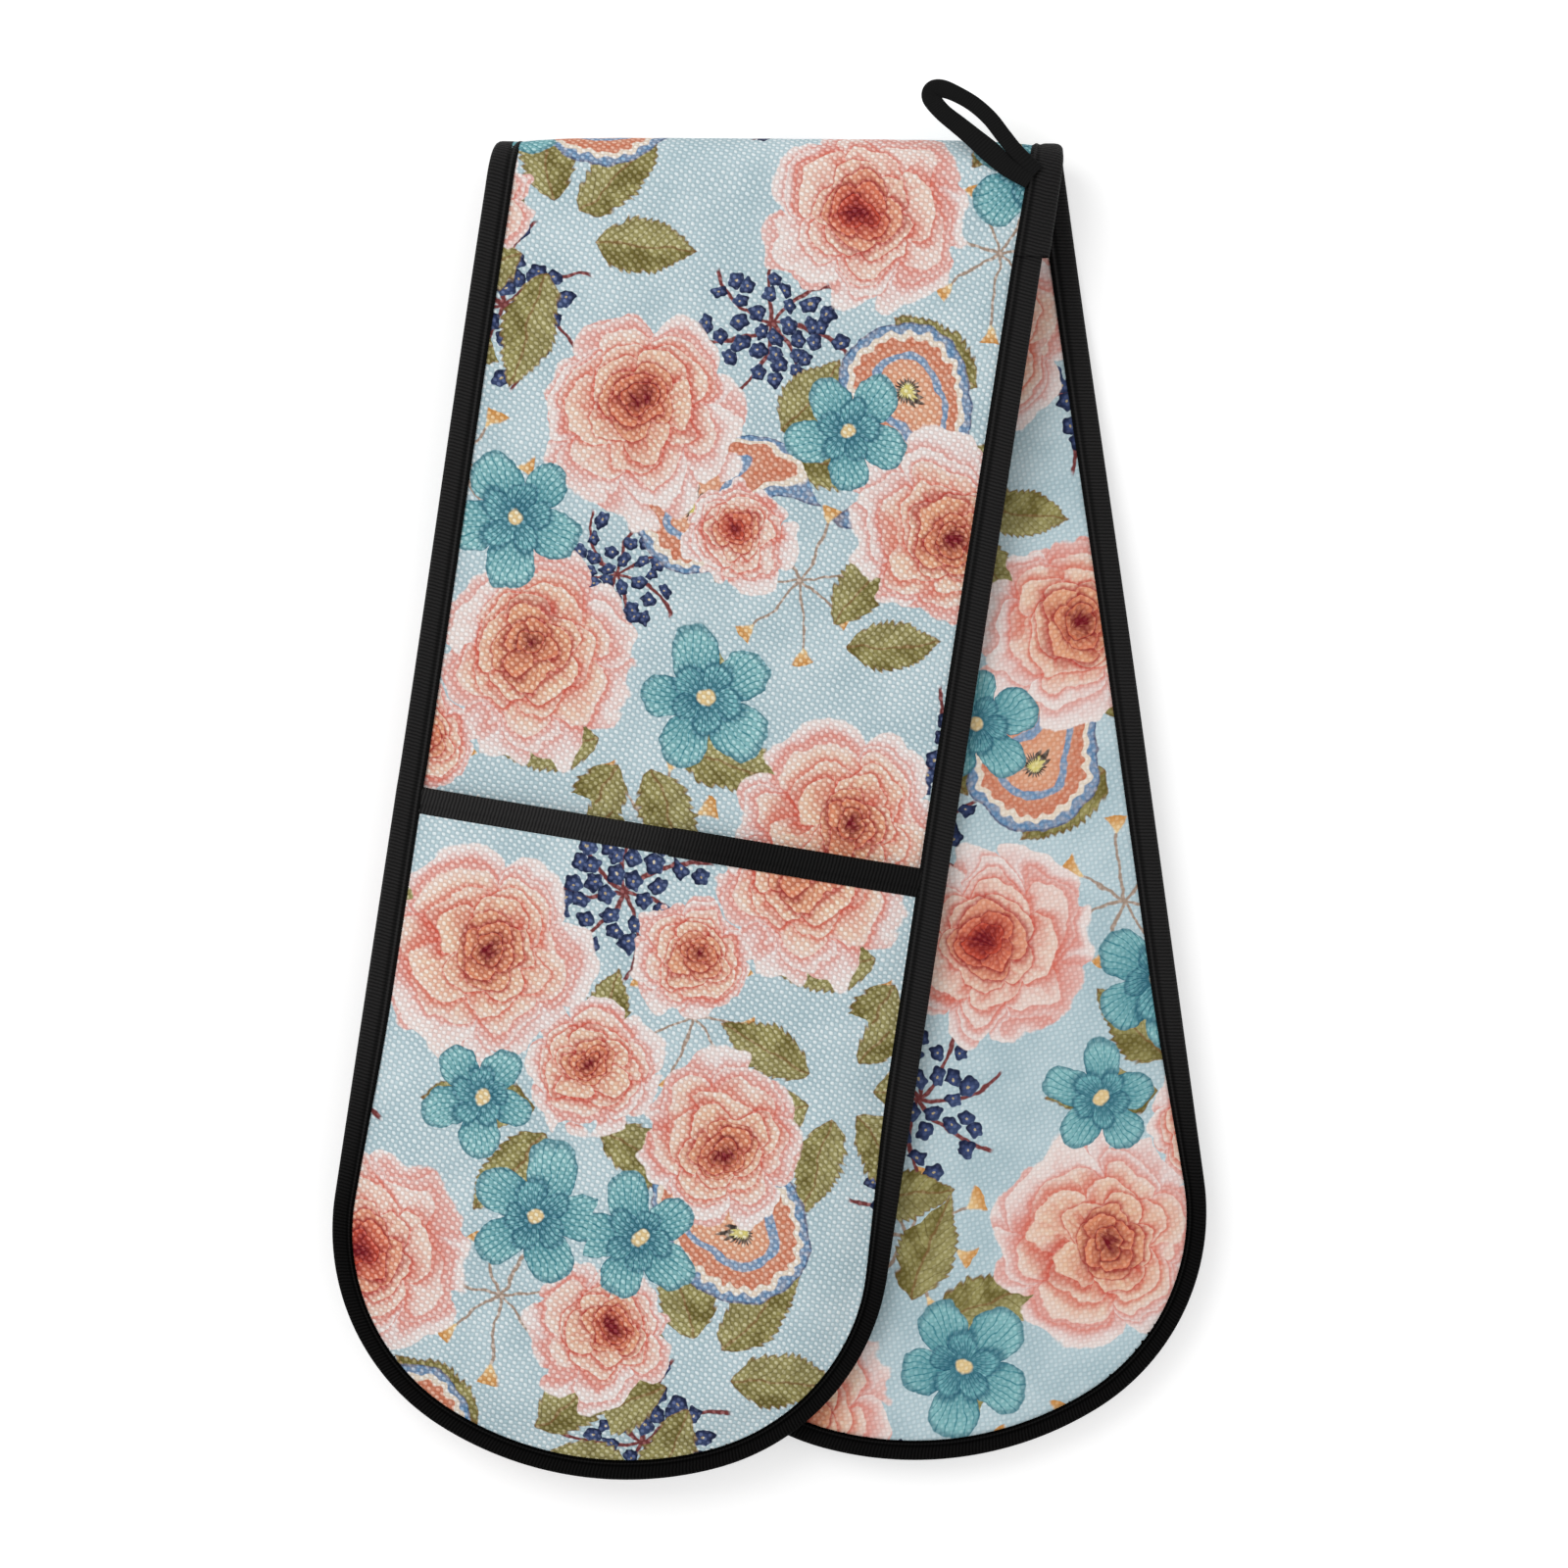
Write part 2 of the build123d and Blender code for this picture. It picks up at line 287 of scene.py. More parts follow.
# Shader nodes are added through a small drawing hand, named by one letter in each section: each
# call adds one node, takes sockets or plain values for its inputs, and gives back its output.
# tone() reads a colour as it is mixed for the eye, from 0 to 255.
class Draught:
    def __init__(self, tree):
        self.tree = tree

    def put(self, socket, value):
        if isinstance(value, bpy.types.NodeSocket):
            self.tree.links.new(value, socket)
        elif socket.type == "RGBA":
            socket.default_value = (*value, 1.0)
        else:
            socket.default_value = value

    def add(self, kind, settings, inputs=(), named=()):
        """A new node with its settings, and its inputs in their order or by their names."""
        made = self.tree.nodes.new(f"ShaderNode{kind}")
        for name, value in settings.items():
            setattr(made, name, value)
        for socket, value in zip(made.inputs, inputs):
            self.put(socket, value)
        for name in named:
            self.put(made.inputs[name], named[name])
        return made.outputs

    def node(self, kind, settings, **inputs):
        return self.add(kind, settings, named=inputs)

    def math(self, operation, *inputs, clamp=False):
        return self.add("Math", {"operation": operation, "use_clamp": clamp}, inputs)[0]

    plus = partialmethod(math, "ADD")
    minus = partialmethod(math, "SUBTRACT")
    times = partialmethod(math, "MULTIPLY")
    over = partialmethod(math, "DIVIDE")
    times_plus = partialmethod(math, "MULTIPLY_ADD")
    absolute = partialmethod(math, "ABSOLUTE")

    def vector(self, operation, *inputs, **named):
        made = self.add("VectorMath", {"operation": operation}, inputs, named)
        return made["Value" if operation == "LENGTH" else "Vector"]

    def mix(self, share, first, second, mode="MIX"):
        """The first colour, with its share of the second mixed in."""
        sockets = {0: share, 6: first, 7: second}
        return self.add("Mix", {"data_type": "RGBA", "blend_type": mode}, named=sockets)[2]

    def fade(self, value, low, high, start=0.0, end=1.0):
        """Goes smoothly from one value to another while the input goes from low to high."""
        smoothly = {"interpolation_type": "SMOOTHSTEP"}
        return self.add("MapRange", smoothly, (value, low, high, start, end))[0]

    def parts(self, place):
        return self.node("SeparateXYZ", {}, Vector=place)

    def polar(self, place):
        """How far from the middle and in which direction a place lies."""
        parts = self.parts(place)
        return self.vector("LENGTH", place), self.math("ARCTAN2", parts["Y"], parts["X"])

    def noise(self, place, scale, detail=2.0, output="Fac"):
        return self.node("TexNoise", {}, Vector=place, Scale=scale, Detail=detail)[output]

    def bump(self, height, distance, strength):
        return self.node("Bump", {}, Height=height, Distance=distance, Strength=strength)["Normal"]

    def chance(self, value):
        """A number from 0 to 1 that belongs to the value, like a throw of dice."""
        return self.node("TexWhiteNoise", {"noise_dimensions": "1D"}, W=value)["Value"]

    def group(self, tree, **inputs):
        return self.add("Group", {"node_tree": tree}, named=inputs)


def new_group(name, inputs, outputs):
    """An empty shader node group with its sockets: the drawing hand for it, and its inputs."""
    tree = bpy.data.node_groups.new(name, "ShaderNodeTree")
    for side, sockets in (("INPUT", inputs), ("OUTPUT", outputs)):
        for socket, kind in sockets.items():
            tree.interface.new_socket(socket, in_out=side, socket_type=f"NodeSocket{kind}")
    return Draught(tree), tree.nodes.new("NodeGroupInput").outputs


def give_out(draught, **values):
    """Ends a group with the values that it gives out."""
    out = draught.tree.nodes.new("NodeGroupOutput")
    for name, value in values.items():
        draught.put(out.inputs[name], value)
    return draught.tree


def new_finish(name, **values):
    """A new material and the drawing hand for it, with the plain values of its shader."""
    made = bpy.data.materials.new(name)
    made.use_nodes = True
    shader = made.node_tree.nodes["Principled BSDF"]
    draught = Draught(made.node_tree)
    for socket, value in values.items():
        draught.put(shader.inputs[socket.replace("_", " ")], value)
    return made, draught, shader.inputs


def tone(red, green, blue):
    return tuple((value / 255) ** 2.2 for value in (red, green, blue))


# The cloth's plain weave, coarse and heavy: yarns pass over and under each other like a
# chessboard. Each place where the warp lies on top gets a painted highlight, a pale, slanting dash,
# and the gaps between the yarns get painted shade. The yarns wander a little and differ in
# thickness.
w, given = new_group(
    "plain_weave", {"Place": "Vector", "Pitch": "Vector"},
    {"Height": "Float", "Dot": "Float", "Gap": "Float"},
)
wander = w.vector("SUBTRACT", w.noise(given["Place"], 0.12, 2.0, "Color"), (0.5, 0.5, 0.5))
wandering = w.vector("MULTIPLY_ADD", wander, (1.7, 1.7, 0.0), given["Place"])
yarns = w.vector("DIVIDE", wandering, given["Pitch"])
crossing = w.parts(w.vector("FLOOR", yarns))
inside = w.parts(w.vector("ABSOLUTE", w.vector("SINE", w.vector("SCALE", yarns, Scale=pi))))
crown = w.times(inside["X"], inside["Y"])
warp_on_top = w.math("FLOORED_MODULO", w.plus(crossing["X"], crossing["Y"]), 2.0)
slub = w.plus(w.chance(crossing["X"]), w.chance(w.times_plus(crossing["Y"], 1.7, 0.3)))
within = w.parts(w.vector("SUBTRACT", w.vector("FRACTION", yarns), (0.5, 0.5, 0.5)))
along_dash = w.minus(within["X"], within["Y"])
across_dash = w.times(w.plus(within["X"], within["Y"]), 1.35)
out = w.vector("LENGTH", w.node("CombineXYZ", {}, X=along_dash, Y=across_dash)["Vector"])
# The dash mask gives a painted highlight on each warp dash, and the gap mask painted shade between
# the yarns, where the cloth materials use them.
dash_highlight = w.times(warp_on_top, w.fade(out, 1.0, 0.45))
plain_weave = give_out(
    w,
    Height=w.times(crown, w.times_plus(slub, 0.1, w.times_plus(warp_on_top, 0.4, 0.5))),
    Dot=w.times(dash_highlight, w.times_plus(slub, 0.35, 0.65)),
    Gap=w.minus(1.0, w.math("POWER", crown, 0.6)),
)

# The print: a flower design of pink blooms, olive leaves, navy blossom on thin stems, teal
# flowers, paisleys and ochre seed heads on pale blue. Each motif knows its nearest place in the
# repeat, and is drawn round it in shares of its own size.
m, given = new_group(
    "nearer_motif",
    {"Place": "Vector", "Middle": "Vector", "Size": "Float", "Turn": "Float", "Number": "Float",
     "Found": "Vector", "Distance": "Float", "Which": "Float"},
    {"Found": "Vector", "Distance": "Float", "Which": "Float"},
)
repeat = Vector((212.0, 304.0, 2.0))
offset = m.vector("SUBTRACT", given["Place"], given["Middle"])
offset = m.vector("WRAP", offset, repeat / 2, -repeat / 2)
offset = m.vector("DIVIDE", offset, given["Size"])
far = m.vector("LENGTH", offset)
turned = m.node(
    "VectorRotate", {"rotation_type": "Z_AXIS"}, Vector=offset, Angle=given["Turn"],
)["Vector"]
closer = m.math("LESS_THAN", far, given["Distance"])
nearer_motif = give_out(
    m,
    Found=m.mix(closer, given["Found"], turned),
    Distance=m.math("MINIMUM", far, given["Distance"]),
    Which=m.times_plus(closer, m.minus(given["Number"], given["Which"]), given["Which"]),
)

# One ring of petals round a middle, painted over what lies under it. Each petal laps over its
# neighbour, is deeper in tone at its foot, and throws a soft shade beyond its rim.
numbers = ("Radius", "Angle", "Petals", "Reach", "Notch", "Turn", "Streak", "Seed", "Within")
colours = ("Under", "Foot", "Rim", "Edge")
p, given = new_group(
    "petal_ring", {**dict.fromkeys(numbers, "Float"), **dict.fromkeys(colours, "Color")},
    {"Colour": "Color", "Mask": "Float"},
)
turns = p.times(p.plus(given["Angle"], given["Turn"]), 1 / (2 * pi))
turns = p.times(p.math("FRACT", turns), given["Petals"])
luck = p.chance(p.plus(p.math("FLOOR", turns), given["Seed"]))
side = p.minus(p.math("FRACT", turns), 0.5)
edge = p.absolute(p.times(side, 2.0))
tip = p.minus(1.0, p.times(given["Notch"], p.math("POWER", edge, 2.4)))
tip = p.times(tip, p.times(given["Reach"], p.times_plus(luck, 0.16, 0.86)))
share = p.over(given["Radius"], tip)
depth = p.times_plus(given["Streak"], 1.5, p.math("POWER", share, 1.6))
depth = p.plus(depth, p.times_plus(luck, 0.3, -0.15), clamp=True)
lapped = p.times(p.fade(side, -0.5, -0.15, 0.75, 0.0), p.fade(share, 0.15, 0.8))
petal = p.mix(lapped, p.mix(depth, given["Foot"], given["Rim"]), given["Foot"])
petal = p.mix(p.fade(share, 0.85, 0.97, 0.0, 0.55), petal, given["Edge"])
beyond = p.times_plus(luck, 0.26, 1.05)
shade = p.times(p.times(p.fade(share, beyond, 0.98), 0.75), given["Within"])
mask = p.fade(share, 1.0, 0.975)
petal_ring = give_out(
    p,
    Colour=p.mix(mask, p.mix(shade, given["Under"], given["Foot"]), petal),
    Mask=p.math("MAXIMUM", mask, given["Within"]),
)

f, given = new_group("flower_print", {"Place": "Vector"}, {"Colour": "Color"})
hand_drawn = f.vector("SUBTRACT", f.noise(given["Place"], 0.085, 3.0, "Color"), (0.5, 0.5, 0.5))
drawn = f.vector("MULTIPLY_ADD", hand_drawn, (6.5, 6.5, 0.0), given["Place"])
wash = f.noise(given["Place"], 0.05, 3.0)
colour = f.mix(f.fade(wash, 0.3, 0.7), tone(177, 202, 210), tone(195, 217, 224))


def nearest_motif(places):
    """The place round the nearest of some motifs, and the number of that motif."""
    found = {"Found": (9.0, 9.0, 0.0), "Distance": 9.0, "Which": 0.0}
    for number, (x, y, size, turn) in enumerate(places):
        found = f.group(
            nearer_motif, Place=drawn, Middle=(x, y, 0.0), Size=size, Turn=radians(turn),
            Number=float(number), Found=found["Found"], Distance=found["Distance"],
            Which=found["Which"],
        )
    return found["Found"], found["Which"]


def sector(angle, count):
    """Divides a turn into equal sectors: the number of each, and the angle from its middle."""
    turns = f.times(angle, count / (2 * pi))
    number = f.math("ROUND", turns)
    return number, f.times(f.minus(turns, number), 2 * pi / count)


# Ochre seed heads on thin stems.
place, which = nearest_motif([
    (-6, 66, 24, 20), (78, -34, 25, 140), (-88, -128, 24, 250), (30, -150, 23, 80),
    (-84, 66, 22, 0),
])
radius, angle = f.polar(place)
number, aside = sector(angle, 7)
out = f.plus(f.times(f.chance(f.plus(number, which)), 0.32), 0.62)
across = f.absolute(f.times(aside, radius))
beyond = f.minus(radius, out)
width = f.times_plus(beyond, 0.55, 0.01)
head = f.times(
    f.fade(f.minus(across, width), 0.02, -0.02),
    f.math("LESS_THAN", f.absolute(f.minus(beyond, 0.13)), 0.13),
)
stem = f.times(f.fade(across, 0.03, 0.012), f.math("LESS_THAN", radius, out))
colour = f.mix(f.times(stem, 0.8), colour, tone(165, 125, 95))
seeds = f.mix(f.fade(beyond, 0.0, 0.26), tone(246, 208, 150), tone(214, 150, 84))
colour = f.mix(head, colour, seeds)

# Navy blossom in sprays along maroon stems.
place, which = nearest_motif([
    (2, 22, 33, 30), (-80, -74, 33, 200), (98, 104, 34, 100), (8, -68, 30, 290),
    (-30, 148, 26, 0),
])
radius, angle = f.polar(place)
number, aside = sector(f.plus(angle, f.times(radius, 0.6)), 7)
across = f.absolute(f.times(aside, radius))
stem = f.times(f.fade(across, 0.03, 0.015), f.fade(radius, 0.9, 0.85))
colour = f.mix(stem, colour, tone(120, 62, 62))
spray = f.node("TexVoronoi", {"voronoi_dimensions": "2D"}, Vector=place, Scale=5.2, Randomness=0.72)
centre = f.vector("LENGTH", spray["Position"])
bloom = f.vector("SCALE", f.vector("SUBTRACT", place, spray["Position"]), Scale=5.2)
small, turn = f.polar(bloom)
lobes = f.math("COSINE", f.times_plus(turn, 5.0, f.times(centre, 20.0)))
share = f.over(small, f.times_plus(lobes, 0.05, 0.46))
luck = f.parts(spray["Color"])["X"]
kept = f.math("GREATER_THAN", f.minus(f.fade(centre, 1.02, 0.55, -0.2, 0.72), luck), 0.0)
blossom = f.mix(f.fade(share, 0.2, 0.9), tone(62, 76, 118), tone(30, 38, 66))
lit = f.times_plus(f.parts(bloom)["Y"], 0.9, f.times(luck, 0.4))
blossom = f.mix(f.fade(lit, 0.0, 0.7, 0.0, 0.5), blossom, tone(86, 106, 150))
blossom = f.mix(f.fade(share, 0.2, 0.1), blossom, tone(190, 170, 130))
colour = f.mix(f.times(kept, f.fade(share, 1.06, 0.96)), colour, blossom)

# Olive leaves in whorls, saw-edged, with a reddish midrib and veins.
place, which = nearest_motif([
    (-16, 98, 60, 10), (92, 30, 56, 75), (-34, 50, 52, 200), (-66, -50, 57, 305),
    (88, -84, 58, 160), (10, -112, 54, 250), (38, 134, 50, 40),
])
radius, angle = f.polar(place)
number, aside = sector(angle, 7)
luck = f.chance(f.times_plus(which, 13.0, number))
ahead = f.times(radius, f.math("COSINE", aside))
across = f.times(radius, f.math("SINE", aside))
along = f.over(f.minus(ahead, 0.2), f.times_plus(luck, 0.25, 0.6), clamp=True)
apart = f.absolute(across)
teeth = f.math("PINGPONG", f.times_plus(along, 26.0, f.times(apart, -30.0)), 1.0)
width = f.times(f.times(f.math("POWER", along, 0.75), f.minus(1.0, along)), 0.52)
width = f.minus(f.times(width, f.times_plus(teeth, 0.16, 1.0)), 0.012)
inside = f.times(f.fade(f.minus(apart, width), 0.008, -0.008), f.math("LESS_THAN", luck, 0.62))
veins = f.math("PINGPONG", f.times_plus(along, 9.0, f.times(apart, -16.0)), 0.5)
leaf = f.mix(f.fade(f.noise(drawn, 0.14, 3.0), 0.35, 0.65), tone(112, 102, 52), tone(160, 152, 96))
leaf = f.mix(f.fade(across, -0.01, 0.01, 0.0, 0.35), leaf, tone(176, 168, 116))
leaf = f.mix(f.fade(veins, 0.1, 0.0, 0.0, 0.55), leaf, tone(92, 80, 40))
leaf = f.mix(f.fade(apart, 0.012, 0.002, 0.0, 0.7), leaf, tone(128, 92, 56))
leaf = f.mix(f.fade(f.minus(width, apart), 0.02, 0.0, 0.0, 0.6), leaf, tone(122, 76, 52))
colour = f.mix(inside, colour, leaf)

# Paisleys, each a drop with a curled tail, banded in slate blue, cream and terracotta.
place, which = nearest_motif([(-58, -2, 38, 205), (54, -82, 37, 60), (-8, 172, 34, 300)])
radius, angle = f.polar(place)
swirl = f.plus(angle, f.times(f.minus(radius, 0.6), 1.1))
swirl = f.minus(f.math("FLOORED_MODULO", f.plus(swirl, pi), 2 * pi), pi)
bump = f.math("EXPONENT", f.times(f.math("POWER", f.absolute(f.over(swirl, 0.42)), 1.6), -1.0))
limit = f.times_plus(bump, 0.78, 0.6)
share = f.over(radius, limit)
scallops = f.math("COSINE", f.times(angle, 20.0))
ring = f.times_plus(scallops, 0.03, share)
paisley = f.mix(f.fade(share, 0.1, 0.75), tone(232, 164, 128), tone(208, 118, 88))
paisley = f.mix(f.fade(f.absolute(f.minus(share, 0.46)), 0.07, 0.05), paisley, tone(112, 148, 186))
paisley = f.mix(f.fade(ring, 0.17, 0.14), paisley, tone(60, 52, 48))
heart = f.fade(f.times_plus(scallops, -0.02, share), 0.1, 0.07)
paisley = f.mix(heart, paisley, tone(226, 214, 120))
paisley = f.mix(f.fade(ring, 0.74, 0.77), paisley, tone(240, 226, 208))
paisley = f.mix(f.fade(ring, 0.84, 0.87), paisley, tone(98, 138, 178))
paisley = f.mix(f.fade(share, 0.95, 0.98), paisley, tone(62, 84, 122))
paisley = f.mix(f.fade(f.noise(drawn, 0.5, 2.0), 0.3, 0.8, 0.0, 0.3), paisley, tone(244, 214, 190))
colour = f.mix(f.fade(share, 1.0, 0.98), colour, paisley)

# The large pink blooms, six rings of petals deepening to a red heart.
place, which = nearest_motif([
    (-52, 116, 38, 15), (54, 74, 39, 100), (-70, 28, 31, 210), (34, -24, 38, 300),
    (-30, -104, 38, 45), (72, -126, 35, 170), (98, 44, 25, 20), (-88, 84, 23, 80),
    (8, -138, 21, 10), (-100, -40, 27, 130),
])
radius, angle = f.polar(place)
around = f.parts(f.vector("SCALE", f.vector("NORMALIZE", place), Scale=3.2))
outward = f.times_plus(radius, 2.2, f.times(which, 9.0))
streaks = f.node("CombineXYZ", {}, X=around["X"], Y=around["Y"], Z=outward)["Vector"]
streak = f.minus(f.noise(streaks, 2.2, 4.0), 0.5)
heart = f.minus(1.0, radius, clamp=True)
radius, angle = f.polar(f.vector("MULTIPLY_ADD", (0.16, -0.1, 0.0), heart, place))
unruly = f.noise(f.vector("MULTIPLY_ADD", (0.0, 0.0, 1.7), which, place), 1.9, 1.0, "Color")
unruly = f.parts(f.vector("SUBTRACT", unruly, (0.5, 0.5, 0.5)))
angle = f.times_plus(unruly["X"], 1.5, angle)
ripple = f.times_plus(unruly["Y"], 0.3, radius)
ripple = f.times_plus(f.minus(f.noise(drawn, 0.2, 2.0), 0.5), 0.07, ripple)
warmth = f.chance(f.plus(which, 0.5))
ring = {"Colour": colour, "Mask": 0.0}
for count, (reach, petals, foot, rim) in enumerate((
    (1.0, 7.0, tone(232, 172, 162), tone(246, 228, 224)),
    (0.88, 6.0, tone(230, 150, 138), tone(246, 226, 220)),
    (0.75, 6.0, tone(228, 128, 112), tone(246, 220, 210)),
    (0.62, 5.0, tone(220, 100, 80), tone(246, 214, 198)),
    (0.5, 5.0, tone(206, 72, 56), tone(244, 204, 182)),
    (0.38, 4.0, tone(176, 42, 40), tone(236, 160, 130)),
    (0.27, 4.0, tone(150, 28, 36), tone(230, 124, 96)),
    (0.16, 3.0, tone(116, 20, 32), tone(206, 76, 58)),
)):
    warm = f.mix(f.times(warmth, 0.4), rim, tone(242, 190, 140)) if count > 1 else rim
    ring = f.group(
        petal_ring, Radius=ripple, Angle=angle, Petals=petals, Reach=reach, Notch=0.2,
        Turn=4.0 + 2.1 * count, Streak=streak, Seed=f.times_plus(which, 31.0, 7.0 * count),
        Within=ring["Mask"], Under=ring["Colour"], Foot=foot, Rim=warm,
        Edge=tone(248, 234, 228) if count < 2 else rim,
    )

# Teal flowers of five veined petals, over everything else.
place, which = nearest_motif([
    (4, 112, 25, 0), (-92, -8, 24, 70), (86, -6, 26, 30), (-66, -142, 25, 200),
    (62, 30, 20, 120), (38, -98, 22, 50),
])
radius, angle = f.polar(place)
veins = f.math("PINGPONG", f.times(angle, 45 / (2 * pi)), 0.5)
vein = f.fade(veins, 0.0, 0.14, -0.5, 0.1)
ring = {"Colour": ring["Colour"], "Mask": 0.0}
for reach, notch, foot, rim in (
    (1.0, 0.5, tone(70, 138, 150), tone(138, 194, 198)),
    (0.5, 0.35, tone(34, 92, 114), tone(108, 172, 180)),
):
    ring = f.group(
        petal_ring, Radius=radius, Angle=angle, Petals=5.0, Reach=reach, Notch=notch,
        Turn=4.0 + reach, Streak=vein, Seed=f.times_plus(which, 17.0, 3.0),
        Within=ring["Mask"], Under=ring["Colour"], Foot=foot, Rim=rim, Edge=tone(24, 78, 104),
    )
colour = ring["Colour"]
colour = f.mix(f.fade(radius, 0.13, 0.09), colour, tone(236, 206, 150))
flower_print = give_out(f, Colour=colour)


def printed(name, highlight_strength, gaps, relief):
    """The printed cotton: the print on its weave, with painted shade in the gaps between yarns and
    a painted highlight on each warp dash.
    """
    made, c, shader = new_finish(name, Roughness=0.9, Specular_IOR_Level=0.2)
    place = c.node("UVMap", {"uv_map": "Cloth"})["UV"]
    weave = c.group(plain_weave, Place=place, Pitch=(1.49, 1.36, 1.0))
    colour = c.group(flower_print, Place=place)["Colour"]
    # Painted shade darkens the gaps between the yarns; a painted highlight, mixed towards white,
    # lightens each warp dash.
    colour = c.mix(c.times(weave["Gap"], gaps), colour, (0.0, 0.0, 0.0))
    light = c.times_plus(c.node("RGBToBW", {}, Color=colour)["Val"], 0.42, 0.03)
    highlight_colour = c.mix(light, c.mix(1.0, colour, colour, "SCREEN"), (1.0, 1.0, 1.0))
    colour = c.mix(c.times(weave["Dot"], highlight_strength), colour, highlight_colour)
    c.put(shader["Base Color"], colour)
    c.put(shader["Normal"], c.bump(weave["Height"], relief, 0.7))
    return made


printed_cotton = printed("printed_cotton", 0.95, 0.22, 0.0003)
printed_cotton_inside = printed("printed_cotton_inside", 0.35, 0.15, 0.00015)


def layer_nodes(layer):
    """The CAD nodes that each of the four parts of a layer stands for."""
    return {
        "front": [f"front_{layer}", f"fold_3_{layer}"],
        "fold_front": [f"fold_2_{layer}"],
        "fold_rear": [f"fold_2_{layer}"],
        "rear": [f"rear_{layer}", f"fold_1_{layer}"],
    }


strip_cloth("outer_cloth", False, printed_cotton, layer_nodes("outer_fabric"))
strip_cloth("inner_cloth", True, printed_cotton_inside, layer_nodes("inner_fabric"))

# The wadding between the cloths, a felted mat that keeps the heat off. It is cut a little
# smaller than the cloths, lies close under them with their swells, and shows nowhere.
wadding_felt, c, shader = new_finish("wadding_felt", Roughness=0.95, Specular_IOR_Level=0.1)
fibres = c.node("TexCoord", {})["Object"]
tangle = c.noise(fibres, 180.0, 2.0, "Color")
fibres = c.vector("MULTIPLY_ADD", tangle, (0.004, 0.004, 0.004), fibres)
matted = c.noise(fibres, 900.0, 5.0)
colour = c.mix(c.fade(matted, 0.3, 0.7), tone(214, 211, 200), tone(238, 236, 228))
c.put(shader["Base Color"], colour)
c.put(shader["Normal"], c.bump(matted, 0.0004, 0.6))

whole_mat = sheet_of_strip(6.0, 4.0)
mat_nodes = layer_nodes("wadding")
for part in bend_parts:
    bm = cut_to_part(whole_mat, part)
    bmesh.ops.solidify(bm, geom=bm.faces[:], thickness=1.0)
    for vert in bm.verts:
        down = sewn_down(vert.co.x, vert.co.y) + fabric + 0.08
        vert.co.z = down if vert.co.z < -0.5 else body - down
    piece = piece_from(bm, f"{part}_wadding_mat", wadding_felt, mat_nodes[part])
    blend_over_hinge(piece, part)
whole_mat.free()

# The edge tape, a black ribbed ribbon folded round the strip's edge and sewn through, in one run
# round the whole strip. It fans round the ends, has its row of stitches near its inner edge, and
# takes in the pockets' edges past their mouths, where it is deeper.
tape_shell = 0.5  # thickness of the ribbon itself
pressed_edge = 1.6  # thickness of a pocket's layers, pressed together in the tape
stitches_inset = 2.5  # from the tape's inner edge to its row of stitches
tape_width = 22.0  # of the ribbon before it is folded
tape_squares = 40  # across the ribbon
shoulder_arc = (shoulder_radius * shoulder_turn, shoulder_radius)
tip_arc = (tip_radius * (pi - 2 * shoulder_turn), tip_radius)
tape_run = [  # lengths and radii of its stretches, from the fold down the right side and round
    (front_tip - tip_radius + end_drop, None), shoulder_arc, tip_arc, shoulder_arc,
    (front_tip + rear_tip - 2 * (tip_radius - end_drop), None), shoulder_arc, tip_arc, shoulder_arc,
    (rear_tip - tip_radius + end_drop, None),
]
tape_length = sum(length for length, radius in tape_run)


def on_edge(run):
    """The place on the strip's edge that far along the tape, and the way inwards from it."""
    place, heading = Vector((strip_width / 2, 0)), -pi / 2
    for length, radius in tape_run:
        step = min(run, length)
        if radius:
            centre = place + radius * Vector((sin(heading), -cos(heading)))
            heading -= step / radius
            place = centre - radius * Vector((sin(heading), -cos(heading)))
        else:
            place = place + step * Vector((cos(heading), sin(heading)))
        run -= step
        if run <= 0:
            break
    return place, Vector((sin(heading), -cos(heading)))


def past_mouth(along):
    """How far a point lies beyond its pocket's mouth, towards the tip."""
    return abs(along) - (tip_of(along) - pocket_depth)


def tape_top(place):
    """Height of the tape's outer face: higher over a pocket's edge, pressed flatter at the fold."""
    at_fold = exp(-((past_fold(*place) / 14) ** 2))
    return body + tape - 0.4 * at_fold + pressed_edge * smooth((past_mouth(place.y) + 7) / 9)


def round_end(along):
    """How far the tape has come round the strip's end, where it is drawn tighter and narrower and
    its colour is darkened as painted shade.
    """
    return smooth((abs(along) - tip_of(along) + 150) / 90)


def tape_section(share, top, bottom, outset, width=binding_width):
    """A point of the folded tape's section: its inset and height, from edge (-1) to edge (1)."""
    half = (top - bottom) / 2
    nose, nose_inset = 0.2, 1.5  # the rounded fold's share of the section, and how deep it is
    over = 1 if share > 0 else -1
    share = abs(share)
    if share < nose:
        turn = share / nose * pi / 2
        inset = nose_inset - (nose_inset + outset) * cos(turn) ** 0.8
        return inset, bottom + half + over * (half - 0.1) * sin(turn) ** 0.8
    inset = nose_inset + (share - nose) / (1 - nose) * (width - nose_inset)
    past_stitches = inset - width + stitches_inset
    pulled = 0.4 * exp(-((past_stitches / 0.8) ** 2))
    lip = 0.12 * exp(-(((past_stitches - 1.1) / 0.4) ** 2))
    turned = 0.55 * smooth((past_stitches - 1.5) / 0.9)
    return inset, bottom + half + over * (half - 0.08 - pulled + lip - turned)


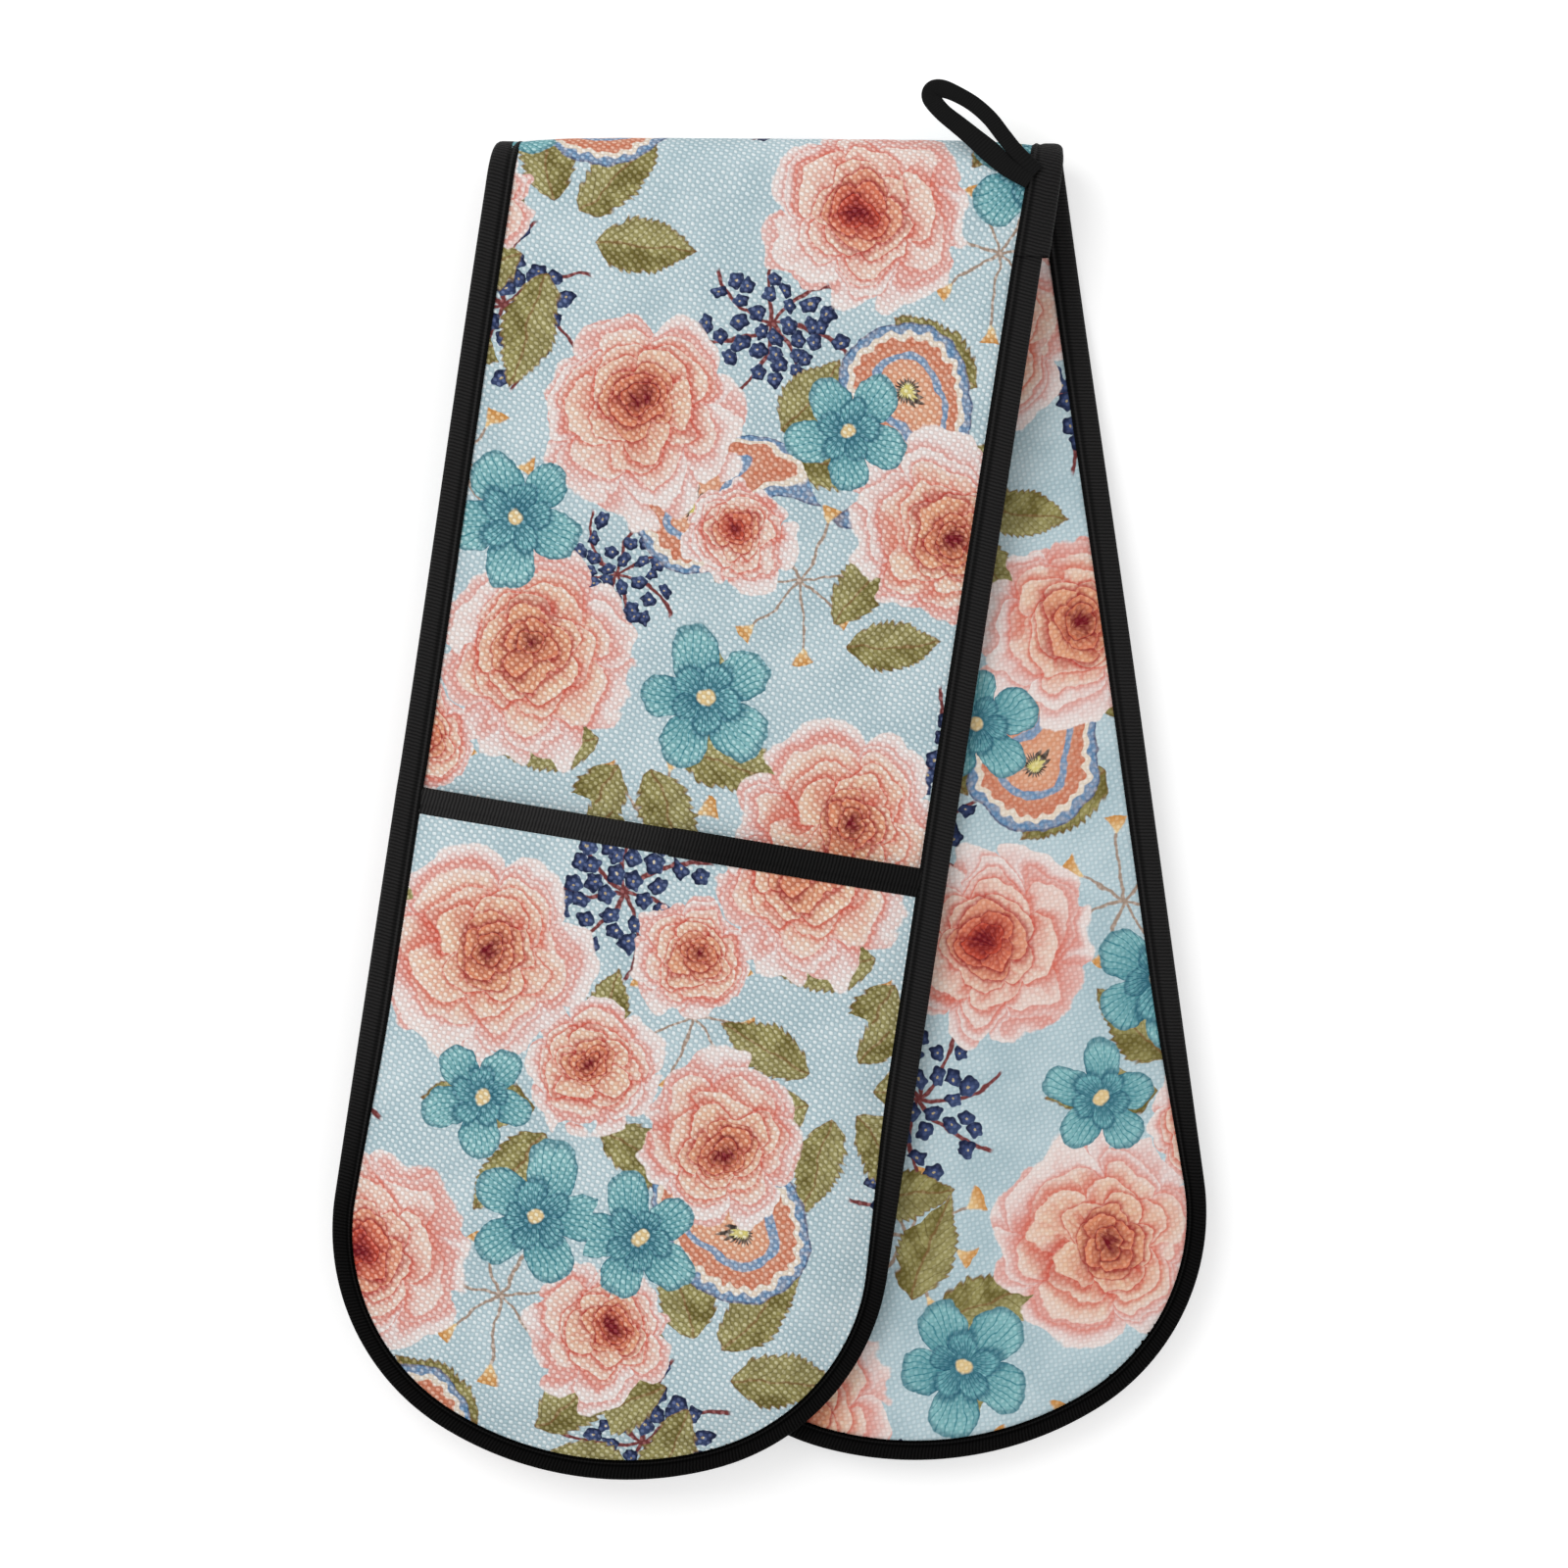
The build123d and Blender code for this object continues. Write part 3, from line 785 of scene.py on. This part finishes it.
def tape_sheet(start, end, step, outset_of, top_of, bottom):
    """The tape laid round the strip's edge over part of its run."""
    length = end - start
    bm = grid(round(length / step), tape_squares)
    lay_pattern(bm, "Tape", lambda point: (start + (point.x + 0.5) * length, tape_width * point.y))
    painted_shade_layer = bm.verts.layers.float.new("Painted shade")
    for vert in bm.verts:
        place, inwards = on_edge(start + (vert.co.x + 0.5) * length)
        # Round the ends the tape is narrower, and its mark darkens its colour there as painted
        # shade.
        shade_and_tightness = vert[painted_shade_layer] = round_end(place.y)
        width = binding_width - 2.2 * shade_and_tightness
        if place.x > 0 > place.y:
            width += 0.6 * (1 - shade_and_tightness) * smooth(-place.y / 40)
        inset, height = tape_section(2 * vert.co.y, top_of(place), bottom, outset_of(place), width)
        vert.co = (*(place + inwards * inset), height)
    return bm


g, given = new_group(
    "grosgrain", {"Place": "Vector", "Pitch": "Float", "Rib": "Float", "Seam": "Float"},
    {"Height": "Float", "Tint": "Float", "Roughness": "Float"},
)
place = g.parts(given["Place"])
wander = g.minus(g.noise(given["Place"], 0.5, 2.0), 0.5)
along = g.times_plus(wander, 0.5, g.times_plus(place["Y"], 0.12, place["X"]))
along = g.over(along, given["Pitch"])
rib = g.absolute(g.math("SINE", g.times(along, pi)))
thread = g.times_plus(g.math("FLOOR", along), 1.9, g.times(place["Y"], 5.5))
thread = g.absolute(g.math("SINE", thread))
fuzz = g.noise(given["Place"], 3.0, 3.0)
# Painted highlight: each rib's crest is lightened in the colour, over the ribbon's own uneven fuzz.
lit = g.times(g.math("POWER", rib, 1.3), given["Rib"])
tint = g.times_plus(fuzz, 0.3, g.times(g.times_plus(thread, 0.35, 0.65), lit))
# Painted shade in the stitch groove and along the turned-under inner edge, and a painted highlight
# along the lip between them.
past_seam = g.minus(g.absolute(place["Y"]), given["Seam"])
seam_shade = g.math(
    "MAXIMUM", g.fade(g.absolute(past_seam), 1.6, 0.0, 0.0, 0.75),
    g.fade(past_seam, 1.6, 2.1, 0.0, 0.95),
)
lip_highlight = g.fade(g.absolute(g.minus(past_seam, 1.2)), 0.55, 0.1, 0.0, 0.7)
grosgrain = give_out(
    g,
    Height=g.times_plus(thread, 0.22, lit),
    Tint=g.plus(lip_highlight, g.times(tint, g.minus(1.0, seam_shade))),
    Roughness=g.times_plus(fuzz, 0.2, 0.62),
)


def grosgrain_tape(name, pitch, rib, seam, light, relief):
    """The ribbed ribbon. Where its vertex mark is high its colour is darkened as painted shade, and
    it reflects a little less.
    """
    made, c, shader = new_finish(name)
    place = c.node("UVMap", {"uv_map": "Tape"})["UV"]
    ribs = c.group(grosgrain, Place=place, Pitch=pitch, Rib=rib, Seam=seam)
    shade_and_tightness = c.node("Attribute", {"attribute_name": "Painted shade"})["Fac"]
    c.put(shader["Specular IOR Level"], c.times_plus(shade_and_tightness, -0.1, 0.12))
    tint = c.times(ribs["Tint"], c.times_plus(shade_and_tightness, -0.65, 1.0))
    c.put(shader["Base Color"], c.mix(tint, tone(8, 8, 8), light))
    c.put(shader["Roughness"], ribs["Roughness"])
    c.put(shader["Normal"], c.bump(ribs["Height"], relief, 0.8))
    return made


black_grosgrain = grosgrain_tape("black_grosgrain", 1.15, 1.0, 7.7, tone(43, 42, 42), 0.0003)

tape_nodes = {
    "front": [
        "front_binding_left", "front_binding_right", "front_binding_end",
        "fold_3_binding_left", "fold_3_binding_right",
    ],
    "fold_front": ["fold_2_binding_left", "fold_2_binding_right"],
    "fold_rear": ["fold_2_binding_left", "fold_2_binding_right"],
    "rear": [
        "rear_binding_left", "rear_binding_right", "rear_binding_end",
        "fold_1_binding_left", "fold_1_binding_right",
    ],
}
whole_tape = tape_sheet(0.0, tape_length, 2.2, lambda place: tape, tape_top, -tape)
bmesh.ops.remove_doubles(whole_tape, verts=whole_tape.verts[:], dist=0.02)
for part in bend_parts:
    bm = cut_to_part(whole_tape, part)
    bmesh.ops.solidify(bm, geom=bm.faces[:], thickness=-tape_shell)
    piece = piece_from(bm, f"{part}_edge_tape", black_grosgrain, tape_nodes[part])
    blend_over_hinge(piece, part)
whole_tape.free()

# The tape's end, lapped over its start down the right side from the fold and turned under. It is
# folded a little wider than the tape it covers, so that it stands out past it.
lap_length = 39.0
lap_step = 2.3
lap_end = -(lap_length + half_bend - bend_end)


def lapped_tape(start, end):
    """The tape over part of its run, one tape further out, and drawn in where it is folded."""
    return tape_sheet(
        start, end, 1.6, lambda place: tape + lap_step - 1.4 * exp(-((past_fold(*place) / 9) ** 2)),
        lambda place: body + 2 * tape - 0.5, -2 * tape,
    )


lap_parts = (("front", lap_end, end_stretch_middle), ("fold_front", end_stretch_middle, -0.5))
for part, low, high in lap_parts:
    bm = lapped_tape(0.0, 60.0)
    more = lapped_tape(tape_length - 30.0, tape_length)
    spare = bpy.data.meshes.new("spare")
    more.to_mesh(spare)
    bm.from_mesh(spare)
    more.free()
    bpy.data.meshes.remove(spare)
    bmesh.ops.remove_doubles(bm, verts=bm.verts[:], dist=0.05)
    cut(bm, low, high)
    for vert in bm.verts:
        hem = smooth((lap_end + 4 - past_fold(vert.co.x, vert.co.y)) / 1.5)
        vert.co.z += 0.6 * hem * (1 if vert.co.z > body / 2 else 0)
    bmesh.ops.solidify(bm, geom=bm.faces[:], thickness=-tape_shell)
    piece = piece_from(bm, f"{part}_lapped_end", black_grosgrain, ["lapped_end"])
    blend_over_hinge(piece, part)

# The hanging loop, a length of ribbon doubled back on itself, flattened and sewn in by the lapped
# end, with a narrow eye between its two strands. Each point gives the ribbon's middle along and
# across the loop, and its width.
loop_thickness = 1.4
loop_ribbon_length = 92.0
loop_base = Vector((79.7, -9.5))  # from the middle of the fold
loop_bearing = radians(141.2)
loop_points = [
    (-5.0, 1.6, 5.0), (4.0, 2.2, 5.2), (11.0, 3.6, 5.3), (18.0, 5.2, 5.3), (25.0, 5.5, 5.3),
    (31.5, 4.5, 5.4), (36.3, 2.9, 6.0), (38.2, 0.6, 6.6), (37.0, -1.8, 6.2), (31.5, -3.0, 5.9),
    (25.0, -3.0, 6.2), (19.0, -3.0, 6.5), (10.5, -3.2, 7.2), (3.0, -3.5, 6.2), (-5.0, -2.4, 5.4),
]
loop_low, loop_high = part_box("hanging_loop")
loop_level = (loop_low.z + loop_high.z) / 2 / mm


def along_loop(share):
    """The ribbon's middle and width at a share of its length, by a curve through the points."""
    last = len(loop_points) - 1
    number = min(int(share * last), last - 1)
    t = share * last - number
    before, start, end, after = (
        Vector(loop_points[min(max(number + step, 0), last)]) for step in (-1, 0, 1, 2)
    )
    return 0.5 * (
        2 * start + (end - before) * t + (2 * before - 5 * start + 4 * end - after) * t**2
        + (3 * start - 3 * end + after - before) * t**3
    )


def rounded(value, power):
    """Flattens the sine or cosine of a turn, so that it draws a rounded box in place of a ring."""
    return abs(value) ** power * (1 if value > 0 else -1)


def loop_laid(point):
    """Place in the world of a point given from the middle of the fold, at the loop's level."""
    return (origin + Vector((point.x, point.y, loop_level + point.z))) * mm


black_ribbon = grosgrain_tape("black_ribbon", 0.8, 0.5, 40.0, tone(32, 32, 32), 0.00012)
bm = grid(90, 24)
lay_pattern(bm, "Tape", lambda point: ((point.x + 0.5) * loop_ribbon_length, point.y * 12.0))
ahead = Vector((cos(loop_bearing), sin(loop_bearing)))
aside = Vector((sin(loop_bearing), -cos(loop_bearing)))
for vert in bm.verts:
    share, turn = vert.co.x + 0.5, 2 * pi * vert.co.y
    middle = along_loop(share)
    heading = along_loop(min(1.0, share + 0.004)) - along_loop(max(0.0, share - 0.004))
    square = Vector((-heading.y, heading.x)).normalized()
    out = rounded(sin(turn), 0.7) * middle.z / 2
    up = rounded(cos(turn), 0.8) * loop_thickness / 2
    flat = loop_base + ahead * (middle.x + square.x * out) + aside * (middle.y + square.y * out)
    vert.co = (*flat, up)
bmesh.ops.remove_doubles(bm, verts=bm.verts[:], dist=0.001)
bmesh.ops.holes_fill(bm, edges=[edge for edge in bm.edges if edge.is_boundary], sides=0)
piece = piece_from(
    bm, "hanging_loop_ribbon", black_ribbon, ["hanging_loop"], loop_laid,
)
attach(piece, "hanging_loop")

# The pockets. Each is a padded panel sewn into the edge tape round the strip's end, with room for
# a hand over the strip, and its own tape across its mouth.
hand_gap = 4.8
pocket = 3.2  # fabric, wadding and lining
slope = 20.0  # from the seam up to the panel's crown
panel_start = 1.0  # from the mouth to where the panel's layers start, under the mouth's tape
mat_gap = 0.25  # from the panel's mat to the cloth on either side
bow_line = 60.0  # from the mouth to a line across the pocket, whose middle point is worked out and not used
pocket_ways = {"front": -1, "rear": 1}  # which way along the strip each pocket's tip lies
panel_prints = {-1: (101.0, -58.0), 1: (-74.0, 96.0)}  # where on a panel its print starts
natural_cotton, c, shader = new_finish("natural_cotton", Roughness=0.92, Specular_IOR_Level=0.15)
place = c.node("UVMap", {"uv_map": "Cloth"})["UV"]
weave = c.group(plain_weave, Place=place, Pitch=(0.62, 0.58, 1.0))
husk = c.node("TexVoronoi", {"voronoi_dimensions": "2D"}, Vector=place, Scale=0.09)["Distance"]
uneven = c.fade(c.noise(place, 0.08, 3.0), 0.3, 0.7)
colour = c.mix(uneven, tone(226, 220, 204), tone(236, 232, 220))
# Painted shade in the gaps between the yarns.
colour = c.mix(c.times(weave["Gap"], 0.25), colour, tone(150, 140, 118))
colour = c.mix(c.fade(husk, 0.045, 0.02), colour, tone(140, 112, 76))
c.put(shader["Base Color"], colour)
c.put(shader["Normal"], c.bump(weave["Height"], 0.00015, 0.6))


def mouth_lean(across, along):
    """How far the front pocket's mouth, sewn a little askew, lies nearer to the tip there."""
    return 2.6 * (0.5 + across / strip_width) if along < 0 else 0.0


def panel_sheet(way, hand, step):
    """One side of a pocket's panel, flat: from the middle line to the seam, and to the mouth."""
    wide = strip_width / 2 - cloth_inset
    mouth = tip_of(way) - pocket_depth
    long = tip_of(way) - mouth - cloth_inset - panel_start
    middle = mouth + panel_start + long / 2
    bm = grid(round(wide / step), round(long / step), wide, long, (hand * wide / 2, way * middle))
    for vert in bm.verts:
        before_tip = (middle + long / 2 - abs(vert.co.y)) / long
        vert.co.y += way * mouth_lean(vert.co.x, way) * before_tip
    trim(bm, cloth_inset)
    return bm


def panel_height(across, along, share):
    """Height of the pocket's panel, from its underside (0) to its face (1)."""
    inside = max(0.0, from_edge(across, along) - binding_width)
    risen = 1 - (1 - min(1.0, inside / slope)) ** 2
    from_mouth = past_mouth(along) - mouth_lean(across, along)
    sagged = 1 - 0.6 * exp(-((from_mouth / 32) ** 2))
    pinched = 1 - 0.45 * exp(-((from_mouth / 9) ** 2))
    under = body - 0.4 + (hand_gap + 0.1) * risen * sagged
    thick = pressed_edge + (pocket - pressed_edge) * risen * pinched
    swell = (0.4 * noise.noise((across / 38, along / 38, 11.0)) - 0.35) * risen
    swell += 0.4 * noise.noise((across / 8, along / 8, 5.0)) * exp(-inside / 9) * risen
    return under + share * thick + swell


def panel_layer(way, hand, step, low, high):
    """A layer of one side of a panel, between two heights that are each given as a share of the
    panel's thickness and a distance past it; and the layer's flat size."""
    bm = panel_sheet(way, hand, step)
    printed_from(bm, *panel_prints[way])
    size = flat_size(bm)
    bmesh.ops.solidify(bm, geom=bm.faces[:], thickness=1.0)
    for vert in bm.verts:
        share, past = high if vert.co.z > -0.5 else low
        vert.co.z = panel_height(vert.co.x, vert.co.y, share) + past
    return bm, size


def mouth_tape(way, hand):
    """One side of the tape over a mouth, folded over the panel's layers and sewn through."""
    bm = grid(72, tape_squares)
    wide = hand * (strip_width / 2 - 3.0)
    lay_pattern(bm, "Tape", lambda point: ((point.x + 0.5) * wide, tape_width * point.y))
    painted_shade_layer = bm.verts.layers.float.new("Painted shade")
    for vert in bm.verts:
        across = (vert.co.x + 0.5) * wide
        # This mark darkens the mouth tape's colour as painted shade, more towards its right-hand
        # end.
        vert[painted_shade_layer] = 0.85 * smooth((across + 28) / 55)
        inset = tape_section(2 * vert.co.y, 1.0, 0.0, tape)[0]
        along = way * (tip_of(way) - pocket_depth + mouth_lean(across, way) + inset)
        wrapped = 0.55 * smooth((from_edge(across, along) - binding_width + 1.8) / 1.2)
        under = panel_height(across, along, 0.0) - wrapped
        over = panel_height(across, along, 1.0) + wrapped
        vert.co = (across, along, tape_section(2 * vert.co.y, over, under, tape)[1])
    bmesh.ops.recalc_face_normals(bm, faces=bm.faces[:])
    bmesh.ops.solidify(bm, geom=bm.faces[:], thickness=0.45)
    return bm


flat_grosgrain = grosgrain_tape("flat_grosgrain", 1.15, 0.9, 40.0, tone(53, 52, 52), 0.0003)
panel_layers = (  # piece, squares' size, material, slot, CAD nodes, and its lower and upper side
    ("pocket_face_cloth", 2.4, printed_cotton, "printed_fabric",
     ("pocket_face", "pocket_margin"), (1.0, -fabric), (1.0, 0.0)),
    ("pocket_wadding_mat", 3.0, wadding_felt, "wadding",
     ("pocket_wadding",), (0.0, fabric + mat_gap), (1.0, -fabric - mat_gap)),
    ("pocket_lining_cloth", 3.0, natural_cotton, "lining",
     ("pocket_lining",), (0.0, 0.0), (0.0, fabric)),
)
for side, way in pocket_ways.items():
    for hand_name, hand in (("left", -1), ("right", 1)):
        along = way * (tip_of(way) - pocket_depth + bow_line)
        middle = folded((0, along, body + 3))
        for name, step, material, slot_name, nodes, low, high in panel_layers:
            bm, size = panel_layer(way, hand, step, low, high)
            nodes = [f"{side}_{node}" for node in nodes]
            piece = piece_from(bm, f"{side}_{name}_{hand_name}", material, nodes)
            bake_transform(piece)
        piece = piece_from(
            mouth_tape(way, hand), f"{side}_mouth_tape_{hand_name}", flat_grosgrain,
            [f"{side}_mouth_binding"],
        )
        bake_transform(piece)

# The floor and the light: a plain white floor, one large soft lamp high on the left, and an even
# sky. The camera looks straight down on the glove.
floor_mesh = bpy.data.meshes.new("floor")
bm = grid(1, 1, wide=8.0, long=8.0)
bm.to_mesh(floor_mesh)
bm.free()
floor = placed("floor", floor_mesh)
floor.location.z = -0.0005
floor_white, c, shader = new_finish(
    "floor_white", Base_Color=(0.8, 0.8, 0.8), Roughness=0.9, Specular_IOR_Level=0.0,
)
ray = c.node("LightPath", {})
seen = c.math("MAXIMUM", ray["Is Glossy Ray"], ray["Is Transmission Ray"])
seen = c.math("MAXIMUM", ray["Is Camera Ray"], seen)
c.put(shader["Emission Color"], (1.0, 1.0, 1.0))
c.put(shader["Emission Strength"], c.times(seen, 0.42))
floor_mesh.materials.append(floor_white)

world = bpy.data.worlds.new("sky")
bpy.context.scene.world = world
world.use_nodes = True
world.node_tree.nodes["Background"].inputs["Color"].default_value = (1, 1, 1, 1)
world.node_tree.nodes["Background"].inputs["Strength"].default_value = 0.72

lamp_data = bpy.data.lights.new("soft_lamp", "AREA")
lamp_data.shape = "DISK"
lamp_data.size = 1.2
lamp_data.energy = 11
lamp = placed("soft_lamp", lamp_data)
lamp.location = (-1.0, 0.9, 1.5)
lamp.rotation_euler = (Vector((0, 0, 0)) - lamp.location).to_track_quat("-Z", "Y").to_euler()

camera_data = bpy.data.cameras.new("camera")
camera_data.lens = 85
camera_data.sensor_width = 36
camera = placed("camera", camera_data)
camera.location = (origin.x * mm + 0.003, origin.y * mm - 0.2124, 1.238)
camera.rotation_euler = (0, 0, radians(0.4))
bpy.context.scene.camera = camera
bpy.context.scene.view_settings.view_transform = "Standard"
